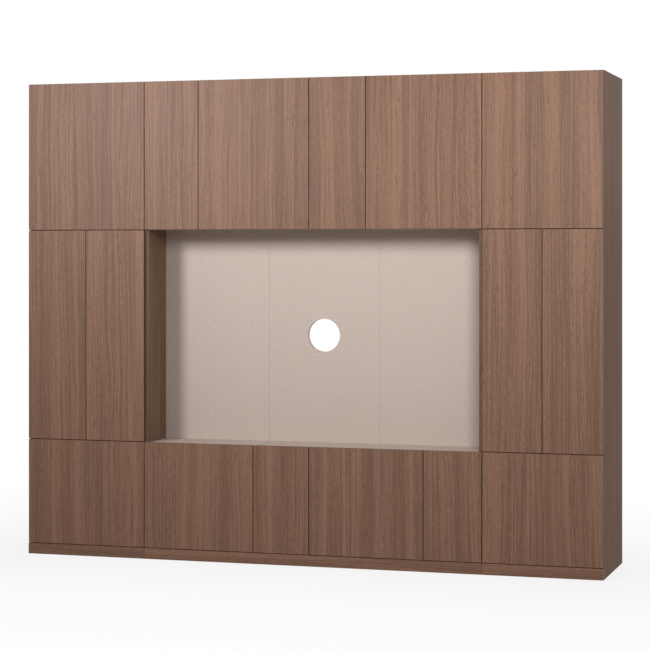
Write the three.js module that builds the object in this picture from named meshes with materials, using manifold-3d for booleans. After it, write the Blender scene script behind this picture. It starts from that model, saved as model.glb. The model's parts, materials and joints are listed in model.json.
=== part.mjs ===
// A fitted entertainment wall: two tall cupboard towers, a row of cupboards above and below an
// open niche for a screen, and a plinth. The doors have no handles and hang on concealed hinges.
// Millimetres, +Z up. X runs along the front from left to right and Y from the front to the wall.

import * as THREE from 'three';
import { mergeVertices } from 'three/addons/utils/BufferGeometryUtils.js';
import Module from 'manifold-3d';

const wasm = await Module();
wasm.setup();

// Overall layout, seen from the front
const leftTowerWidth = 660;
const rightTowerWidth = 606;
const wideBayWidth = 600;
const narrowBayWidth = 300;
const plinthHeight = 58;
const baseRowHeight = 552;
const middleRowHeight = 1105;
const topRowHeight = 775;
const carcassDepth = 570;

// Boards and doors
const boardThickness = 18;
const doorThickness = 18;
const doorStandOff = 2;
const doorGap = 3;
const outerReveal = 1;
const edgeRounding = 1;
const edgeRoundingSteps = 1;
const plinthJoint = 1;

// Thin backs, held in grooves near the rear edges
const backThickness = 8;
const backInset = 20;
const grooveDepth = 8;
const fitGap = 0.3;

// Screen niche
const nicheDepth = 248;
const cheekThickness = 18;
const liningThickness = 18;
const nicheFloorDrop = 3;
const cableHoleDiameter = 172;
const cableHoleRise = 559;
const cableHoleSides = 48;
const railHeight = 60;
const railThickness = 18;

// Loose shelves in the towers, each on four pins
const loosePerTower = 2;
const shelfSetback = 20;
const shelfSideGap = 1;
const pinDiameter = 5;
const pinLength = 9;
const pinInset = 37;
const pinSides = 6;
const pinHolePitch = 32;
const pinHoleDepth = 10;
const pinHolesEachWay = 1;
const pinHoleSides = 6;

// Concealed hinge: the cup and its flange on the door
const cupDiameter = 35;
const cupWall = 0.8;
const cupDepth = 12.5;
const cupEdgeDistance = 4.5;
const cupSides = 14;
const flangeThickness = 1.4;
const flangeRim = 1.6;
const flangeLength = 62;
const flangeScrewOffset = 9.5;
const flangeWingWidth = 16;
const flangeCornerSteps = 2;

// Concealed hinge: the plate and the arm on the cabinet
const hingeEndDistance = 90;
const twoHingeDoorHeight = 900;
const plateSetback = 37;
const plateThickness = 2.5;
const plateHeight = 52;
const plateWingWidth = 12;
const plateLength = 44;
const plateSpineWidth = 16;
const ridgeWidth = 11;
const ridgeLength = 38;
const armSeat = 8;
const armHeight = 8;
const armWall = 1.2;
const armWidth = 15;
const armNoseWidth = 11;
const armLength = 66;
const armKnee = 16;
const armReach = 8;
const armBendSteps = 3;
const linkWidth = 8;
const linkThickness = 2;
const innerLinkSetback = 2.5;
// Where the arm's two sides lie in the cup, as shares of its radius from its centre
const armNearShare = -0.06;
const armFarShare = 0.4;

// Push latch: a round plunger in a housing under a panel, near the free edge of each door
const latchEdgeDistance = 48;
const latchWidth = 12;
const latchDrop = 13;
const latchLength = 46;
const latchRoundSteps = 3;
const plungerDiameter = 7;
const plungerSides = 6;

// Levelling feet under the long middle base
const footInset = 70;
const footPlateDiameter = 56;
const footPlateThickness = 5;
const footStemDiameter = 24;
const footPadDiameter = 44;
const footPadThickness = 9;
const footSides = 8;

// Cuts run past the faces that they open by this much
const overrun = 1;
const weldDistance = 0.0001;

// Places along the width, from the left outer face
const middleLeft = leftTowerWidth;
const middleWidth = 2 * (wideBayWidth + narrowBayWidth);
const middleRight = middleLeft + middleWidth;
const middleCentre = middleLeft + middleWidth / 2;
const totalWidth = middleRight + rightTowerWidth;
const topBays = [narrowBayWidth, wideBayWidth, narrowBayWidth, wideBayWidth];
const baseBays = [wideBayWidth, narrowBayWidth, wideBayWidth, narrowBayWidth];

// Places through the depth, from the door faces
const carcassFront = doorThickness + doorStandOff;
const totalDepth = carcassFront + carcassDepth;
const backRear = totalDepth - backInset;
const backFront = backRear - backThickness;
const liningFront = carcassFront + nicheDepth;
const liningRear = liningFront + liningThickness;

// Heights
const baseTopLine = plinthHeight + baseRowHeight;
const bridgeLine = baseTopLine + middleRowHeight;
const totalHeight = bridgeLine + topRowHeight;
const bottomTop = plinthHeight + boardThickness;
const topUnder = totalHeight - boardThickness;
const nicheFloor = baseTopLine - nicheFloorDrop;
const nicheCeiling = bridgeLine;
const lowerShelfTop = baseTopLine + boardThickness / 2;
const lowerShelfUnder = lowerShelfTop - boardThickness;
const upperShelfTop = bridgeLine + boardThickness / 2;
const upperShelfUnder = upperShelfTop - boardThickness;

const walnut = new THREE.MeshStandardMaterial({ color: 0x856858, roughness: 0.55, metalness: 0 });
const walnutSide = new THREE.MeshStandardMaterial({ color: 0x6c5c50, roughness: 0.6, metalness: 0 });
const linen = new THREE.MeshStandardMaterial({ color: 0xb9a797, roughness: 0.75, metalness: 0 });

const cabinet = new THREE.Group();
cabinet.name = 'entertainment_center';
cabinet.position.set(-totalWidth / 2, -totalDepth / 2, 0);

// Solids

// A closed geometry as a solid: vertices that meet are shared and collapsed facets are dropped
function solid(geometry) {
  const bare = geometry.clone();
  bare.deleteAttribute('normal');
  bare.deleteAttribute('uv');
  const welded = mergeVertices(bare, weldDistance);
  const corners = [];
  for (let i = 0; i < welded.index.count; i += 3) {
    const facet = [welded.index.getX(i), welded.index.getX(i + 1), welded.index.getX(i + 2)];
    if (new Set(facet).size === 3) {
      corners.push(...facet);
    }
  }
  return new wasm.Manifold(new wasm.Mesh({
    numProp: 3,
    vertProperties: new Float32Array(welded.attributes.position.array),
    triVerts: new Uint32Array(corners),
  }));
}

// A unit box with its corners set at six planes, so boards that meet share a plane exactly
function block(x0, x1, y0, y1, z0, z1) {
  const geometry = new THREE.BoxGeometry();
  const corner = geometry.attributes.position;
  for (let i = 0; i < corner.count; i += 1) {
    const x = corner.getX(i) < 0 ? x0 : x1;
    const y = corner.getY(i) < 0 ? y0 : y1;
    const z = corner.getZ(i) < 0 ? z0 : z1;
    corner.setXYZ(i, x, y, z);
  }
  return solid(geometry);
}

function outline(points) {
  return new THREE.Shape(points.map(([a, b]) => new THREE.Vector2(a, b)));
}

// An outline in X and Y, drawn out from one height to another
function alongZ(shape, z0, z1, curveSegments) {
  const geometry = new THREE.ExtrudeGeometry(shape, {
    depth: z1 - z0, bevelEnabled: false, curveSegments,
  });
  geometry.translate(0, 0, z0);
  return solid(geometry);
}

// An outline in Y and Z, drawn out along the width
function alongX(shape, x0, x1) {
  const geometry = new THREE.ExtrudeGeometry(shape, { depth: x1 - x0, bevelEnabled: false });
  const turn = new THREE.Matrix4().makeBasis(
    new THREE.Vector3(0, 1, 0), new THREE.Vector3(0, 0, 1), new THREE.Vector3(1, 0, 0));
  geometry.applyMatrix4(turn);
  geometry.translate(x0, 0, 0);
  return solid(geometry);
}

// An outline in X and Z, drawn out through the depth
function alongY(shape, y0, y1, curveSegments) {
  const geometry = new THREE.ExtrudeGeometry(shape, {
    depth: y1 - y0, bevelEnabled: false, curveSegments,
  });
  geometry.rotateX(Math.PI / 2);
  geometry.translate(0, y1, 0);
  return solid(geometry);
}

function rodAlongX(x0, x1, y, z, diameter, sides) {
  const geometry = new THREE.CylinderGeometry(diameter / 2, diameter / 2, x1 - x0, sides);
  geometry.rotateZ(Math.PI / 2);
  geometry.translate((x0 + x1) / 2, y, z);
  return solid(geometry);
}

function rodAlongY(x, y0, y1, z, diameter, sides) {
  const geometry = new THREE.CylinderGeometry(diameter / 2, diameter / 2, y1 - y0, sides);
  geometry.translate(x, (y0 + y1) / 2, z);
  return solid(geometry);
}

function addPart(name, body, material) {
  const { vertProperties, triVerts } = body.getMesh();
  const shared = new THREE.BufferGeometry();
  shared.setAttribute('position', new THREE.BufferAttribute(vertProperties, 3));
  shared.setIndex(new THREE.BufferAttribute(triVerts, 1));
  const geometry = shared.toNonIndexed();
  geometry.computeVertexNormals();
  const mesh = new THREE.Mesh(geometry, material);
  mesh.name = name;
  cabinet.add(mesh);
}

// Hinges

// The heights of a door's hinges: one near each end, and one between them on a tall door
function hingeHeights(z0, z1) {
  const low = z0 + hingeEndDistance;
  const high = z1 - hingeEndDistance;
  return z1 - z0 > twoHingeDoorHeight ? [low, (low + high) / 2, high] : [low, high];
}

// The cup's flange in X and Z about the cup's centre: half a rim, and a wing for a screw above
// and below it on the side away from the door's edge. toMiddle is +1 or -1 along X.
function flangeOutline(toMiddle) {
  const rim = cupDiameter / 2 + flangeRim;
  const near = flangeScrewOffset - flangeWingWidth / 2;
  const far = flangeScrewOffset + flangeWingWidth / 2;
  const half = flangeLength / 2;
  const corner = flangeWingWidth / 2;
  const points = [];
  const start = Math.acos(near / rim);
  const rimSteps = cupSides / 2;
  for (let i = 0; i <= rimSteps; i += 1) {
    const angle = start + (2 * Math.PI - 2 * start) * i / rimSteps;
    points.push([toMiddle * rim * Math.cos(angle), rim * Math.sin(angle)]);
  }
  for (const up of [-1, 1]) {
    for (let i = 0; i <= flangeCornerSteps; i += 1) {
      const angle = up * Math.PI / 2 + (i / flangeCornerSteps - 1 / 2) * Math.PI;
      const x = flangeScrewOffset + corner * Math.cos(angle);
      const z = up * (half - corner) + corner * Math.sin(angle);
      points.push([toMiddle * Math.min(x, far), z]);
    }
  }
  return outline(points);
}

// One door with rounded edges, and a hinge cup pressed into its back at each height.
// hingeOn is 'left' or 'right', the edge that the hinges are on.
function makeDoor(name, x0, x1, z0, z1, hingeOn) {
  const face = outline([
    [x0 + edgeRounding, z0 + edgeRounding], [x1 - edgeRounding, z0 + edgeRounding],
    [x1 - edgeRounding, z1 - edgeRounding], [x0 + edgeRounding, z1 - edgeRounding],
  ]);
  const geometry = new THREE.ExtrudeGeometry(face, {
    depth: doorThickness - 2 * edgeRounding,
    bevelEnabled: true,
    bevelThickness: edgeRounding,
    bevelSize: edgeRounding,
    bevelSegments: edgeRoundingSteps,
  });
  geometry.rotateX(Math.PI / 2);
  geometry.translate(0, doorThickness - edgeRounding, 0);
  let door = solid(geometry);
  const toMiddle = hingeOn === 'left' ? 1 : -1;
  const cupFromEdge = cupEdgeDistance + cupDiameter / 2;
  const cupX = hingeOn === 'left' ? x0 + cupFromEdge : x1 - cupFromEdge;
  const bore = cupDiameter - 2 * cupWall;
  for (const z of hingeHeights(z0, z1)) {
    const flange = alongY(flangeOutline(toMiddle), doorThickness - edgeRounding,
      doorThickness + flangeThickness).translate([cupX, 0, z]);
    const pocket = rodAlongY(cupX, doorThickness - cupDepth, doorThickness + flangeThickness + overrun,
      z, bore, cupSides);
    door = door.add(flange).subtract(pocket);
  }
  addPart(name, door, walnut);
}

// What one hinge has on the cabinet: a cross-shaped plate, its ridge, and an arm that is a channel
// clipped over the ridge. The arm bends towards the door and holds the two links in the cup.
// faceX is the face that carries it, outward is +1 or -1 along X, and cupOffset is how far the
// cup's centre lies from it.
function hingeHardware(faceX, outward, cupOffset, z) {
  const at = (away) => faceX + outward * away;
  const span = (away0, away1) => [Math.min(at(away0), at(away1)), Math.max(at(away0), at(away1))];
  const wing = plateWingWidth / 2;
  const spine = plateSpineWidth / 2;
  const plateMiddle = carcassFront + plateSetback;
  const cross = outline([
    [plateMiddle - plateLength / 2, z - spine], [plateMiddle - wing, z - spine],
    [plateMiddle - wing, z - plateHeight / 2], [plateMiddle + wing, z - plateHeight / 2],
    [plateMiddle + wing, z - spine], [plateMiddle + plateLength / 2, z - spine],
    [plateMiddle + plateLength / 2, z + spine], [plateMiddle + wing, z + spine],
    [plateMiddle + wing, z + plateHeight / 2], [plateMiddle - wing, z + plateHeight / 2],
    [plateMiddle - wing, z + spine], [plateMiddle - plateLength / 2, z + spine],
  ]);
  const plate = alongX(cross, ...span(-overrun, plateThickness));

  const cupRadius = cupDiameter / 2;
  const near = cupOffset + armNearShare * cupRadius;
  const far = cupOffset + armFarShare * cupRadius;
  const seatTop = armSeat + armHeight;
  const noseFront = carcassFront;
  const linkFront = doorThickness - armReach;
  const kneeY = carcassFront + armKnee;
  const backY = carcassFront + armLength;
  const profile = new THREE.Shape();
  profile.moveTo(at(armSeat), backY);
  profile.lineTo(at(seatTop - armHeight / 2), backY);
  profile.lineTo(at(seatTop), backY - armHeight / 2);
  profile.lineTo(at(seatTop), kneeY);
  profile.bezierCurveTo(at(seatTop), (kneeY + noseFront) / 2, at(far), (kneeY + noseFront) / 2,
    at(far), noseFront);
  profile.lineTo(at(near), noseFront);
  profile.bezierCurveTo(at(near), (kneeY + noseFront) / 2, at(armSeat), (kneeY + noseFront) / 2,
    at(armSeat), kneeY);
  const bar = alongZ(profile, z - armWidth / 2, z + armWidth / 2, armBendSteps);
  const taper = outline([
    [noseFront - overrun, z - armNoseWidth / 2], [kneeY, z - armWidth / 2],
    [backY + overrun, z - armWidth / 2], [backY + overrun, z + armWidth / 2],
    [kneeY, z + armWidth / 2], [noseFront - overrun, z + armNoseWidth / 2],
  ]);
  const reach = Math.max(seatTop, far) + overrun;
  const hollow = block(...span(armSeat - overrun, seatTop - armWall), kneeY, backY - armHeight / 2,
    z - armWidth / 2 + armWall, z + armWidth / 2 - armWall);
  const arm = bar.intersect(alongX(taper, ...span(0, reach))).subtract(hollow);
  const ridge = block(...span(0, seatTop - armWall / 2), plateMiddle - ridgeLength / 2,
    plateMiddle + ridgeLength / 2, z - ridgeWidth / 2, z + ridgeWidth / 2);

  const links = [[near, linkFront + innerLinkSetback], [far - linkThickness, linkFront]].map(([side, front]) => {
    const corner = linkThickness / 4;
    const section = outline([
      [at(side), noseFront + overrun], [at(side), front + corner],
      [at(side + corner), front], [at(side + linkThickness - corner), front],
      [at(side + linkThickness), front + corner], [at(side + linkThickness), noseFront + overrun],
    ]);
    return alongZ(section, z - linkWidth / 2, z + linkWidth / 2);
  });
  return links.reduce((body, link) => body.add(link), plate.add(ridge).add(arm));
}

// The hinge hardware of one door, on the face of the panel behind its hinge edge, edgeX
function withHinges(panel, faceX, outward, edgeX, heights) {
  const cupX = edgeX + outward * (cupEdgeDistance + cupDiameter / 2);
  const cupOffset = Math.abs(cupX - faceX);
  return heights.reduce((body, z) => body.add(hingeHardware(faceX, outward, cupOffset, z)), panel);
}

// Latches, pins and feet

// A push latch under a panel: its plunger's tip waits just behind the closed door
function latch(x, panelUnder) {
  const radius = latchWidth / 2;
  const section = new THREE.Shape();
  section.moveTo(-radius, overrun);
  section.lineTo(-radius, radius - latchDrop);
  section.absarc(0, radius - latchDrop, radius, Math.PI, 2 * Math.PI, false);
  section.lineTo(radius, overrun);
  const housing = alongY(section, carcassFront, carcassFront + latchLength, latchRoundSteps)
    .translate([x, 0, panelUnder]);
  const plunger = rodAlongY(x, doorThickness + fitGap, carcassFront + overrun,
    panelUnder + radius - latchDrop, plungerDiameter, plungerSides);
  return housing.add(plunger);
}

function withLatches(panel, places, panelUnder) {
  return places.reduce((body, x) => body.add(latch(x, panelUnder)), panel);
}

// The pins that hold a tower's loose shelves, and the spare holes above and below each pin
function withShelfPins(panel, faceX, outward, shelfUnders) {
  let body = panel;
  for (const y of [carcassFront + shelfSetback + pinInset, backFront - pinInset]) {
    for (const under of shelfUnders) {
      const pinZ = under - fitGap - pinDiameter / 2;
      const [x0, x1] = [faceX - outward * overrun, faceX + outward * pinLength].sort((a, b) => a - b);
      body = body.add(rodAlongX(x0, x1, y, pinZ, pinDiameter, pinSides));
      for (let step = -pinHolesEachWay; step <= pinHolesEachWay; step += 1) {
        if (step === 0) {
          continue;
        }
        const [h0, h1] = [faceX - outward * pinHoleDepth, faceX + outward * overrun]
          .sort((a, b) => a - b);
        body = body.subtract(rodAlongX(h0, h1, y, pinZ + step * pinHolePitch, pinDiameter, pinHoleSides));
      }
    }
  }
  return body;
}

// A levelling foot turned about its own axis: a plate under the bottom panel, a stem and a pad
function foot(x, y) {
  const under = plinthHeight;
  const plateRadius = footPlateDiameter / 2;
  const stemRadius = footStemDiameter / 2;
  const padRadius = footPadDiameter / 2;
  const profile = [
    [0, 0], [padRadius, 0], [padRadius, footPadThickness / 2], [stemRadius, footPadThickness],
    [stemRadius, under - footPlateThickness], [plateRadius, under - footPlateThickness],
    [plateRadius, under], [stemRadius, under + overrun], [0, under + overrun],
  ].map(([r, z]) => new THREE.Vector2(r, z));
  const geometry = new THREE.LatheGeometry(profile, footSides);
  geometry.rotateX(Math.PI / 2);
  const turned = solid(geometry);
  return turned.translate([x, y, 0]);
}

// Panels

// A groove for a thin back in the face of an upright panel
function grooved(panel, faceX, outward, z0, z1) {
  const [x0, x1] = [faceX - outward * grooveDepth, faceX + outward * overrun].sort((a, b) => a - b);
  return panel.subtract(block(x0, x1, backFront - fitGap, backRear + fitGap, z0 - overrun, z1 + overrun));
}

function thinBack(name, x0, x1, z0, z1) {
  const tongue = grooveDepth - fitGap;
  addPart(name, block(x0 - tongue, x1 + tongue, backFront, backRear, z0, z1), linen);
}

// The doors of one row: each bay gives a door, with the gap shared between neighbours
function rowDoors(z0, z1, specs) {
  return specs.map(([name, left, right, hingeOn]) => {
    const x0 = left + (left === 0 ? outerReveal : doorGap / 2);
    const x1 = right - (right === totalWidth ? outerReveal : doorGap / 2);
    return { name, x0, x1, z0, z1, hingeOn };
  });
}

function bayEdges(start, bays) {
  const edges = [start];
  for (const width of bays) {
    edges.push(edges[edges.length - 1] + width);
  }
  return edges;
}

const topEdges = [0, ...bayEdges(middleLeft, topBays), totalWidth];
const baseEdges = [0, ...bayEdges(middleLeft, baseBays), totalWidth];
const topHinges = ['left', 'left', 'left', 'left', 'left', 'right'];
const baseHinges = ['left', 'right', 'right', 'right', 'right', 'right'];
const leftSplit = leftTowerWidth / 2;
const rightSplit = middleRight + rightTowerWidth / 2;

const topDoors = rowDoors(bridgeLine + doorGap / 2, totalHeight - outerReveal,
  topHinges.map((side, i) => [`top_door_${i + 1}`, topEdges[i], topEdges[i + 1], side]));
const baseDoors = rowDoors(plinthHeight + doorGap / 2, baseTopLine - doorGap / 2,
  baseHinges.map((side, i) => [`base_door_${i + 1}`, baseEdges[i], baseEdges[i + 1], side]));
const towerDoors = rowDoors(baseTopLine + doorGap / 2, bridgeLine - doorGap / 2, [
  ['left_tower_door_1', 0, leftSplit, 'left'],
  ['left_tower_door_2', leftSplit, middleLeft, 'right'],
  ['right_tower_door_1', middleRight, rightSplit, 'left'],
  ['right_tower_door_2', rightSplit, totalWidth, 'right'],
]);
const allDoors = [...topDoors, ...towerDoors, ...baseDoors];
for (const door of allDoors) {
  makeDoor(door.name, door.x0, door.x1, door.z0, door.z1, door.hingeOn);
}

// Every hinge whose door edge lies over an upright panel is carried on that panel's face towards
// the door
function carryHinges(panel, x0, x1, z0, z1) {
  let body = panel;
  for (const door of allDoors) {
    const edgeX = door.hingeOn === 'left' ? door.x0 : door.x1;
    const outward = door.hingeOn === 'left' ? 1 : -1;
    const faceX = outward > 0 ? x1 : x0;
    if (edgeX < x0 || edgeX > x1 || door.z0 + hingeEndDistance < z0 || door.z1 - hingeEndDistance > z1) {
      continue;
    }
    body = withHinges(body, faceX, outward, edgeX, hingeHeights(door.z0, door.z1));
  }
  return body;
}

// A door's latch stands near its free edge
function latchX(door) {
  return door.hingeOn === 'left' ? door.x1 - latchEdgeDistance : door.x0 + latchEdgeDistance;
}

function latchPlaces(doors, x0, x1) {
  return doors.filter((door) => door.x0 < x1 && door.x1 > x0).map(latchX);
}

// Towers

// outerX and innerX are the tower's two outside faces; the outer one shows, the inner one is
// against the middle section
function makeTower(prefix, outerX, innerX) {
  const inward = innerX > outerX ? 1 : -1;
  const sides = [
    { name: 'outer_side', x: outerX, inward, material: walnutSide },
    { name: 'inner_side', x: innerX, inward: -inward, material: linen },
  ];
  const clearHeight = upperShelfUnder - lowerShelfTop;
  const shelfUnders = [];
  for (let i = 1; i <= loosePerTower; i += 1) {
    const share = i / (loosePerTower + 1);
    shelfUnders.push(lowerShelfTop + clearHeight * share - boardThickness / 2);
  }
  for (const side of sides) {
    const faceX = side.x + side.inward * boardThickness;
    const [x0, x1] = [side.x, faceX].sort((a, b) => a - b);
    let panel = block(x0, x1, carcassFront, totalDepth, 0, totalHeight);
    panel = grooved(panel, faceX, side.inward, plinthHeight, totalHeight);
    panel = withShelfPins(panel, faceX, side.inward, shelfUnders);
    panel = carryHinges(panel, x0, x1, 0, totalHeight);
    addPart(`${prefix}_${side.name}`, panel, side.material);
  }

  const x0 = Math.min(outerX, innerX) + boardThickness;
  const x1 = Math.max(outerX, innerX) - boardThickness;
  const levels = [
    { name: 'top', under: topUnder, latches: topDoors },
    { name: 'upper_fixed_shelf', under: upperShelfUnder, latches: towerDoors },
    { name: 'lower_fixed_shelf', under: lowerShelfUnder, latches: baseDoors },
    { name: 'bottom', under: plinthHeight, latches: [] },
  ];
  for (const level of levels) {
    const panel = block(x0, x1, carcassFront, backFront, level.under, level.under + boardThickness);
    const places = latchPlaces(level.latches, x0, x1);
    addPart(`${prefix}_${level.name}`, withLatches(panel, places, level.under), linen);
  }
  thinBack(`${prefix}_back`, x0, x1, plinthHeight, totalHeight);
  shelfUnders.forEach((under, i) => {
    const shelf = block(x0 + shelfSideGap, x1 - shelfSideGap, carcassFront + shelfSetback,
      backFront - shelfSideGap, under, under + boardThickness);
    addPart(`${prefix}_shelf_${i + 1}`, shelf, linen);
  });
}

makeTower('left_tower', 0, middleLeft);
makeTower('right_tower', totalWidth, middleRight);

// Middle section

// The uprights of a middle unit: an end at each side and a partition at each joint between bays
function makeUprights(prefix, bays, endBottom, backBottom, partitionBottom, endTop, partitionTop) {
  const ends = [
    { name: 'left_end', x0: middleLeft, faceX: middleLeft + boardThickness, inward: 1 },
    { name: 'right_end', x0: middleRight - boardThickness, faceX: middleRight - boardThickness, inward: -1 },
  ];
  for (const end of ends) {
    const x1 = end.x0 + boardThickness;
    let panel = block(end.x0, x1, carcassFront, totalDepth, endBottom, endTop);
    panel = grooved(panel, end.faceX, end.inward, backBottom, endTop);
    panel = carryHinges(panel, end.x0, x1, endBottom, endTop);
    addPart(`${prefix}_${end.name}`, panel, linen);
  }
  const joints = bayEdges(middleLeft, bays).slice(1, -1);
  joints.forEach((jointX, i) => {
    const x0 = jointX - boardThickness / 2;
    const x1 = jointX + boardThickness / 2;
    const panel = block(x0, x1, carcassFront, backFront, partitionBottom, partitionTop);
    addPart(`${prefix}_partition_${i + 1}`, carryHinges(panel, x0, x1, partitionBottom, partitionTop), linen);
  });
}

const middleInnerLeft = middleLeft + boardThickness;
const middleInnerRight = middleRight - boardThickness;

// Bridge over the niche: its bottom panel is the niche's ceiling and carries the ends
const bridgeFloor = nicheCeiling + boardThickness;
makeUprights('bridge', topBays, bridgeFloor, bridgeFloor, bridgeFloor, totalHeight, topUnder);
const bridgeTop = block(middleInnerLeft, middleInnerRight, carcassFront, backFront, topUnder, totalHeight);
addPart('bridge_top', withLatches(bridgeTop, latchPlaces(topDoors, middleLeft, middleRight), topUnder), linen);
addPart('bridge_bottom',
  block(middleLeft, middleRight, carcassFront, totalDepth, nicheCeiling, bridgeFloor), linen);
thinBack('bridge_back', middleInnerLeft, middleInnerRight, bridgeFloor, totalHeight);

// Base under the niche: its ends stand on the floor and its top panel is the niche's floor
const baseTopUnder = nicheFloor - boardThickness;
makeUprights('base', baseBays, 0, plinthHeight, bottomTop, baseTopUnder, baseTopUnder);
const baseTop = block(middleLeft, middleRight, carcassFront, totalDepth, baseTopUnder, nicheFloor);
addPart('base_top', withLatches(baseTop, latchPlaces(baseDoors, middleLeft, middleRight), baseTopUnder), linen);
let baseBottom = block(middleInnerLeft, middleInnerRight, carcassFront, backFront, plinthHeight, bottomTop);
const footSpacing = (middleWidth - narrowBayWidth) / 2;
for (const x of [middleCentre - footSpacing, middleCentre, middleCentre + footSpacing]) {
  for (const y of [carcassFront + footInset, backFront - footInset]) {
    baseBottom = baseBottom.add(foot(x, y));
  }
}
addPart('base_bottom', baseBottom, linen);
thinBack('base_back', middleInnerLeft, middleInnerRight, plinthHeight, baseTopUnder);

// Niche: walnut cheeks against the towers, three lining boards and the rails behind them
addPart('niche_left_cheek', block(middleLeft, middleLeft + cheekThickness, carcassFront, liningFront,
  nicheFloor, nicheCeiling), walnut);
addPart('niche_right_cheek', block(middleRight - cheekThickness, middleRight, carcassFront, liningFront,
  nicheFloor, nicheCeiling), walnut);
const liningPlaces = ['left', 'middle', 'right'];
const liningWidth = middleWidth / liningPlaces.length;
liningPlaces.forEach((place, i) => {
  const x0 = middleLeft + i * liningWidth;
  const x1 = middleLeft + (i + 1) * liningWidth;
  let board = block(x0, x1, liningFront, liningRear, nicheFloor, nicheCeiling);
  if (place === 'middle') {
    board = board.subtract(rodAlongY(middleCentre, liningFront - overrun, liningRear + overrun,
      nicheFloor + cableHoleRise, cableHoleDiameter, cableHoleSides));
  }
  addPart(`niche_lining_${place}`, board, linen);
});
const railRear = liningRear + railThickness;
addPart('niche_lower_rail', block(middleLeft, middleRight, liningRear, railRear,
  nicheFloor, nicheFloor + railHeight), linen);
addPart('niche_upper_rail', block(middleLeft, middleRight, liningRear, railRear,
  nicheCeiling - railHeight, nicheCeiling), linen);

// Plinth: three boards in front of the uprights, their faces in line with the doors
const plinthSpans = [
  ['plinth_left', 0, middleLeft - plinthJoint / 2],
  ['plinth_middle', middleLeft + plinthJoint / 2, middleRight - plinthJoint / 2],
  ['plinth_right', middleRight + plinthJoint / 2, totalWidth],
];
for (const [name, x0, x1] of plinthSpans) {
  addPart(name, block(x0, x1, 0, carcassFront, 0, plinthHeight - doorGap / 2), walnut);
}

export default cabinet;
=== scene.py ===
import json
import math
import random

import bmesh
import bpy
from mathutils import Matrix, Vector


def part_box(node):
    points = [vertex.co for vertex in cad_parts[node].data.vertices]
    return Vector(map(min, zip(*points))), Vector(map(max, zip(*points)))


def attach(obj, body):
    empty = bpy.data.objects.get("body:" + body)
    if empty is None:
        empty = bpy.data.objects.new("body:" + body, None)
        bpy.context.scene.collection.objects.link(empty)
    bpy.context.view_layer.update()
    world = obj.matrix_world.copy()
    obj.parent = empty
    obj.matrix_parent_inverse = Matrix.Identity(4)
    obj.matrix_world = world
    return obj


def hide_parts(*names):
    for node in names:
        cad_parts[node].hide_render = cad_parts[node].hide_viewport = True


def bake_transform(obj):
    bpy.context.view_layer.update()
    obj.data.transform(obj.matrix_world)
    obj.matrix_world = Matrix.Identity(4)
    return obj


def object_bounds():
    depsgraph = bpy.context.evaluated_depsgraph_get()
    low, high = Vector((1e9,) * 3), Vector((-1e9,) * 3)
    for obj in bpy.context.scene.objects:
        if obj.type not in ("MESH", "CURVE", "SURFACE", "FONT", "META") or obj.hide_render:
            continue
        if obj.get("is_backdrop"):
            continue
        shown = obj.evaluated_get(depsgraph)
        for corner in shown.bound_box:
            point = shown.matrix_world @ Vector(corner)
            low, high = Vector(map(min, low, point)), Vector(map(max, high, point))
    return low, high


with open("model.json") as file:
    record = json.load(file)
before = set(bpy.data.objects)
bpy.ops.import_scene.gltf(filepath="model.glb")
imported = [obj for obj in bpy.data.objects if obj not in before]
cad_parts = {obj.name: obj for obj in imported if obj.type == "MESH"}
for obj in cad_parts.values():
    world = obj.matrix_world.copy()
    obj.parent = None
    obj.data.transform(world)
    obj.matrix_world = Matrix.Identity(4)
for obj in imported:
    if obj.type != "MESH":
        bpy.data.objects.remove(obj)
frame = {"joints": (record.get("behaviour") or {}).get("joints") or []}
cadLow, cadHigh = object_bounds()
frontPlane = cadLow.y
cabinetBody = "cabinet"
mm = 0.001

# Camera, lamps and floor

cameraSet = {
    "lens": 113.5504,
    "place": (3.17462, -10.23716, 1.61201),
    "turn": 17.11,  # degrees to the left of straight ahead; the camera is level
    "shiftUp": -0.115867,
    "sensor": 36,
    "seesTo": 200,
}

lampSet = {
    # name: place, point that it looks at, width, height, spread in degrees, watts
    "highFromLeft": ((-2.14, -3.5, 2.88), (-0.35, -0.3, 2.2), 0.76, 0.95, 115, 45),
    "highFromRight": ((2.14, -3.5, 2.66), (1.1, -0.3, 2.24), 0.8, 0.95, 115, 37.5),
    "softFromBehind": ((0.6, 6.0, 3.4), (0.0, 0.3, 1.2), 3.0, 3.0, 180, 190),
}
# The world lights the object with a weak warm light and is seen as white
worldSet = {"light": (0.262, 0.244, 0.222, 1.0), "shown": (1.0, 1.0, 1.0, 1.0)}
# The floor is a white sweep: lit and shaded by the lamps, and shown whiter the farther it lies from
# the object's footprint, up to plain white
floorSet = {
    "size": 60.0,
    "colour": "#dddbd8",
    "footprint": (1.525, 0.285),  # a little inside half the object's width and half its depth
    "fade": 3.0,
    "glow": ((0.0, 0.0), (0.002, 0.84), (0.35, 0.93), (1.0, 1.0)),  # share of the fade, glow
}


def linear(hexColour):
    channels = [int(hexColour[i:i + 2], 16) / 255 for i in (1, 3, 5)]
    return [c / 12.92 if c <= 0.04045 else ((c + 0.055) / 1.055) ** 2.4 for c in channels] + [1.0]


# A node with its settings; each input is given a value, a socket, or a node for its first socket
def addNode(tree, kind, inputs=None, **settings):
    node = tree.nodes.new(kind)
    for name, value in settings.items():
        setattr(node, name, value)
    for socket, source in (inputs or {}).items():
        if isinstance(source, bpy.types.Node):
            source = source.outputs[0]
        if isinstance(source, bpy.types.NodeSocket):
            tree.links.new(source, node.inputs[socket])
        else:
            node.inputs[socket].default_value = source
    return node


# The node tree of a new material or world, emptied
def emptyTree(owner):
    owner.use_nodes = True
    owner.node_tree.nodes.clear()
    return owner.node_tree


def newFinish(name):
    finish = bpy.data.materials.new(name)
    return finish, emptyTree(finish)


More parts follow.
